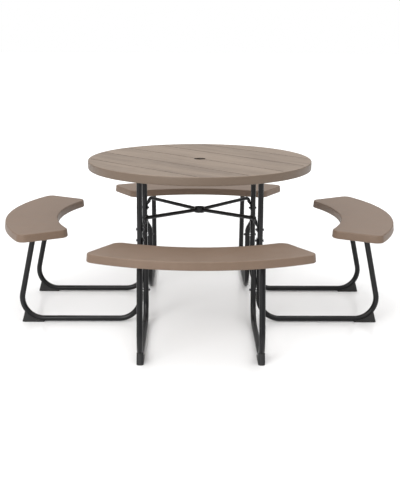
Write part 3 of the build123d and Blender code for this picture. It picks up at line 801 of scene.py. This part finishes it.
def bench_material():
    """Mottled brown, rubbed pale at the edges, partly as a painted highlight, and dusted, with a fine
    pebbled bump.
    """
    material, tree, shader, place = new_material("bench_plastic_finish")
    skin = use_group(tree, moulded_skin, {"Vector": place, "Pebbles per metre": 800.0, "Waviness": 0.5})
    colour = blend(tree, remap(tree, skin["Mottle"], 0.3, 0.7), BENCH_DARK, BENCH_COLOUR)
    # Pale edges: partly wear, partly a painted highlight on the rounded edges.
    wear_and_highlight = use_group(tree, worn_edges_and_highlight, {"Vector": place, "Radius": 3.0 * MM, "Amount": 0.4})
    colour = blend(tree, wear_and_highlight["Mask"], colour, BENCH_WORN_HIGHLIGHT)
    dust = use_group(tree, settled_dust, {"Vector": place, "Amount": 0.10})
    colour = blend(tree, dust["Mask"], colour, DUST_COLOUR)
    rough = maths(tree, "MULTIPLY_ADD", skin["Mottle"], 0.16, 0.42)
    rough = maths(tree, "MULTIPLY_ADD", dust["Mask"], 0.5, rough)
    tree.links.new(colour, shader.inputs["Base Color"])
    tree.links.new(rough, shader.inputs["Roughness"])
    tree.links.new(bumped(tree, skin["Height"], 0.45, 0.35 * MM), shader.inputs["Normal"])
    shader.inputs["IOR"].default_value = 1.5
    shader.inputs["Specular IOR Level"].default_value = 0.42
    return material


# %% [markdown]
# ### Powder coat, foot plastic and fasteners
# The steel frame is baked with a charcoal powder: satin, with a fine orange peel, rubbed a
# little shiny on its corners. The feet are dull black plastic, scuffed where they touch the
# ground. Bolts, nuts and screws are black zinc, a thin metal finish that shows silver where
# a spanner has been.

# %% Material: frame coating
COAT_COLOUR = (0.0060, 0.0060, 0.0072, 1.0)
COAT_DARK = grey(0.0042)
COAT_PALE = (0.05, 0.05, 0.054, 1.0)


def coating_material():
    """Charcoal with faint mottle, paler on rubbed corners, over an orange-peel bump."""
    material, tree, shader, place = new_material("frame_coating_finish")
    skin = use_group(tree, moulded_skin, {"Vector": place, "Pebbles per metre": 650.0, "Waviness": 0.6})
    colour = blend(tree, remap(tree, skin["Mottle"], 0.3, 0.7), COAT_DARK, COAT_COLOUR)
    wear_and_highlight = use_group(tree, worn_edges_and_highlight, {"Vector": place, "Radius": 1.2 * MM, "Amount": 0.7})
    colour = blend(tree, wear_and_highlight["Mask"], colour, COAT_PALE)
    dust = use_group(tree, settled_dust, {"Vector": place, "Amount": 0.06})
    colour = blend(tree, dust["Mask"], colour, DUST_COLOUR)
    rough = maths(tree, "MULTIPLY_ADD", skin["Mottle"], 0.14, 0.24)
    rough = maths(tree, "MULTIPLY_ADD", dust["Mask"], 0.9, rough)
    tree.links.new(colour, shader.inputs["Base Color"])
    tree.links.new(rough, shader.inputs["Roughness"])
    tree.links.new(bumped(tree, skin["Height"], 0.3, 0.25 * MM, wear_and_highlight["Normal"]), shader.inputs["Normal"])
    shader.inputs["Specular IOR Level"].default_value = 0.3
    return material


# %% Material: foot plastic
FOOT_DARK = grey(0.0065)
FOOT_COLOUR = grey(0.0105)
FOOT_PALE = grey(0.05)
SCUFF_COLOUR = (0.12, 0.11, 0.1, 1.0)
SCUFF_TOP = 14.0 * MM
SCUFF_FULL = 1.0 * MM


def foot_material():
    """Dull black, scuffed grey near the ground and along the edges."""
    material, tree, shader, place = new_material("foot_plastic_finish")
    skin = use_group(tree, moulded_skin, {"Vector": place, "Pebbles per metre": 1400.0, "Waviness": 0.2})
    wear_and_highlight = use_group(tree, worn_edges_and_highlight, {"Vector": place, "Radius": 1.5 * MM, "Amount": 0.8})
    level = node(tree, "ShaderNodeSeparateXYZ", {"Vector": place}).outputs["Z"]
    near_ground = remap(tree, level, SCUFF_TOP, SCUFF_FULL)
    scuffs = remap(tree, noise(tree, place, 160.0, 5.0, 0.7, 0.8), 0.5, 0.75)
    scuffed = maths(tree, "MULTIPLY", near_ground, scuffs)
    colour = blend(tree, remap(tree, skin["Mottle"], 0.3, 0.7), FOOT_DARK, FOOT_COLOUR)
    colour = blend(tree, wear_and_highlight["Mask"], colour, FOOT_PALE)
    colour = blend(tree, scuffed, colour, SCUFF_COLOUR)
    dust = use_group(tree, settled_dust, {"Vector": place, "Amount": 0.16})
    colour = blend(tree, dust["Mask"], colour, DUST_COLOUR)
    rough = maths(tree, "MULTIPLY_ADD", skin["Mottle"], 0.2, 0.48)
    tree.links.new(colour, shader.inputs["Base Color"])
    tree.links.new(rough, shader.inputs["Roughness"])
    tree.links.new(bumped(tree, skin["Height"], 0.5, 0.25 * MM, wear_and_highlight["Normal"]), shader.inputs["Normal"])
    return material


# %% Material: fastener steel
ZINC_DARK = grey(0.05)
ZINC_COLOUR = (0.085, 0.085, 0.095, 1.0)
STEEL_COLOUR = (0.45, 0.45, 0.46, 1.0)


def fastener_material():
    """Black zinc: a dark metal, silver where the edges are rubbed through."""
    material, tree, shader, place = new_material("fastener_steel_finish")
    skin = use_group(tree, moulded_skin, {"Vector": place, "Pebbles per metre": 2600.0, "Waviness": 0.4})
    wear_and_highlight = use_group(tree, worn_edges_and_highlight, {"Vector": place, "Radius": 0.5 * MM, "Amount": 0.9})
    colour = blend(tree, remap(tree, skin["Mottle"], 0.3, 0.7), ZINC_DARK, ZINC_COLOUR)
    colour = blend(tree, wear_and_highlight["Mask"], colour, STEEL_COLOUR)
    rough = maths(tree, "MULTIPLY_ADD", skin["Mottle"], 0.2, 0.26)
    tree.links.new(colour, shader.inputs["Base Color"])
    tree.links.new(rough, shader.inputs["Roughness"])
    tree.links.new(bumped(tree, skin["Height"], 0.3, 0.1 * MM, wear_and_highlight["Normal"]), shader.inputs["Normal"])
    shader.inputs["Metallic"].default_value = 0.85
    return material


# %% Put the finishes on
finishes = {
    "tabletop_plastic": tabletop_material(),
    "bench_plastic": bench_material(),
    "frame_coating": coating_material(),
    "foot_plastic": foot_material(),
    "fastener_steel": fastener_material(),
}


def give_finish(piece, slot):
    """Make one material the only one of a piece."""
    if piece.material_slots:
        for place in piece.material_slots:
            place.material = finishes[slot]
    else:
        piece.data.materials.append(finishes[slot])


give_finish(tabletop_panel, "tabletop_plastic")
give_finish(weld_beads, "frame_coating")
for bench_panel in bench_panels:
    give_finish(bench_panel, "bench_plastic")
kept_nodes = 0
for node_name in nodes:
    piece = bpy.data.objects.get(node_name)
    if piece is None or piece.hide_render:
        continue
    for place in piece.material_slots:
        slot_name = place.material.name.split(".")[0]
        place.material = finishes[slot_name]
    kept_nodes += 1
print("measured pieces with a finish:", kept_nodes)

# %% [markdown]
# ## Floor, light and camera
# The floor is pale, and so brightly lit that it goes to white away from the
# table, as a studio sweep does. Its colour is a touch lighter near the table: painted light
# that lifts the table's shadow. It has a soft sheen near the table only, because far off a
# glossy floor would mirror the dim horizon as a grey band. The sky shines strongly from
# above and weakly from the sides, so rims and undersides stay darker than tops. Rays that
# come straight from the camera see it as plain white. Three large soft panels shape the
# light.

# %% Floor
FLOOR_HALF = 30.0
FLOOR_NEAR_PAINTED_LIGHT = 0.92
FLOOR_FAR = 0.90
FLOOR_PAINTED_LIGHT_FADE = (0.75, 1.85)
FLOOR_ROUGHNESS = 0.16
SHEEN_NEAR = 1.5
SHEEN_FAR = 2.6
SHEEN = 0.35


def make_floor():
    """A flat grid at the level of the feet's soles."""
    steps = np.linspace(-FLOOR_HALF, FLOOR_HALF, 9)
    x, y = np.meshgrid(steps, steps)
    points = np.dstack([x, y, np.zeros_like(x)]).reshape(-1, 3)
    mesh = bpy.data.meshes.new("floor")
    mesh.from_pydata(points.tolist(), [], grid_faces(9, 9).tolist())
    floor = bpy.data.objects.new("floor", mesh)
    bpy.context.scene.collection.objects.link(floor)
    material, tree, shader, place = new_material("studio_floor")
    radius = node(tree, "ShaderNodeVectorMath", {0: place}, operation="LENGTH").outputs["Value"]
    # Painted light: the floor colour is a touch lighter near the table, where its shadow falls, and
    # fades to the far colour outwards.
    painted_light_reach = maths(tree, "MULTIPLY_ADD", noise(tree, place, 1.4, 2.0, 0.5), 0.3, radius)
    colour = blend(tree, remap(tree, painted_light_reach, *FLOOR_PAINTED_LIGHT_FADE), grey(FLOOR_NEAR_PAINTED_LIGHT), grey(FLOOR_FAR))
    tree.links.new(colour, shader.inputs["Base Color"])
    sheen = remap(tree, radius, SHEEN_NEAR, SHEEN_FAR, SHEEN, 0.0)
    tree.links.new(sheen, shader.inputs["Specular IOR Level"])
    shader.inputs["Roughness"].default_value = FLOOR_ROUGHNESS
    mesh.materials.append(material)
    return floor


floor = make_floor()


# %% Light
def soft_panel(name, place, aim, size, power):
    """A square area light at a place, turned towards a point."""
    light = bpy.data.lights.new(name, "AREA")
    light.shape = "RECTANGLE"
    light.size, light.size_y = size
    light.energy = power
    lamp = bpy.data.objects.new(name, light)
    lamp.location = place
    direction = Vector(aim) - Vector(place)
    lamp.rotation_euler = direction.to_track_quat("-Z", "Y").to_euler()
    bpy.context.scene.collection.objects.link(lamp)
    return lamp


soft_panel("panel_left_front", (-2.4, -4.6, 2.6), (0.0, 0.0, 0.45), (2.4, 2.0), 140.0)
soft_panel("panel_right_back", (2.6, 3.6, 2.8), (0.0, 0.0, 0.5), (3.0, 2.0), 6.0)
soft_panel("panel_over", (0.0, 0.4, 4.2), (0.0, 0.0, 0.4), (3.4, 3.4), 10.0)

SKY_LOW = 0.12
SKY_HIGH = 1.80
SKY_STARTS = 0.05
SKY_FULL = 0.75
world = bpy.data.worlds.new("white_sky")
world.use_nodes = True
bpy.context.scene.world = world
sky_tree = world.node_tree
sky = sky_tree.nodes["Background"]
direction = node(sky_tree, "ShaderNodeTexCoord").outputs["Generated"]
upwards = node(sky_tree, "ShaderNodeSeparateXYZ", {0: direction}).outputs["Z"]
glow = remap(sky_tree, upwards, SKY_STARTS, SKY_FULL, SKY_LOW, SKY_HIGH)
seen = node(sky_tree, "ShaderNodeLightPath").outputs["Is Camera Ray"]
sky_tree.links.new(maths(sky_tree, "MAXIMUM", glow, seen), sky.inputs["Strength"])
sky.inputs["Color"].default_value = grey(1.0)
bpy.context.scene.view_settings.view_transform = "Standard"
bpy.context.scene.view_settings.look = "None"

# %% [markdown]
# ### Camera
# A long lens, a little above the tabletop, looking slightly down, so that the benches keep
# their true proportions.

# %% Camera
CAMERA_PLACE = (-0.04696, -4.4239, 1.3878)
CAMERA_LOOKS = (0.01102, 0.9713, -0.2374)
CAMERA_ROLL = 0.306
CAMERA_LENS = 69.30


def make_camera():
    """A camera from its place, its line of sight and its roll about that line."""
    data = bpy.data.cameras.new("camera")
    data.lens = CAMERA_LENS
    data.sensor_width = 36.0
    data.sensor_fit = "AUTO"
    camera = bpy.data.objects.new("camera", data)
    bpy.context.scene.collection.objects.link(camera)
    sight = Vector(CAMERA_LOOKS).normalized()
    level = sight.to_track_quat("-Z", "Y").to_matrix().to_4x4()
    roll = Matrix.Rotation(np.radians(CAMERA_ROLL), 4, "Z")
    camera.matrix_world = Matrix.Translation(CAMERA_PLACE) @ level @ roll
    bpy.context.scene.camera = camera
    return camera


camera = make_camera()
print("camera", [round(v, 3) for v in camera.matrix_world.translation])
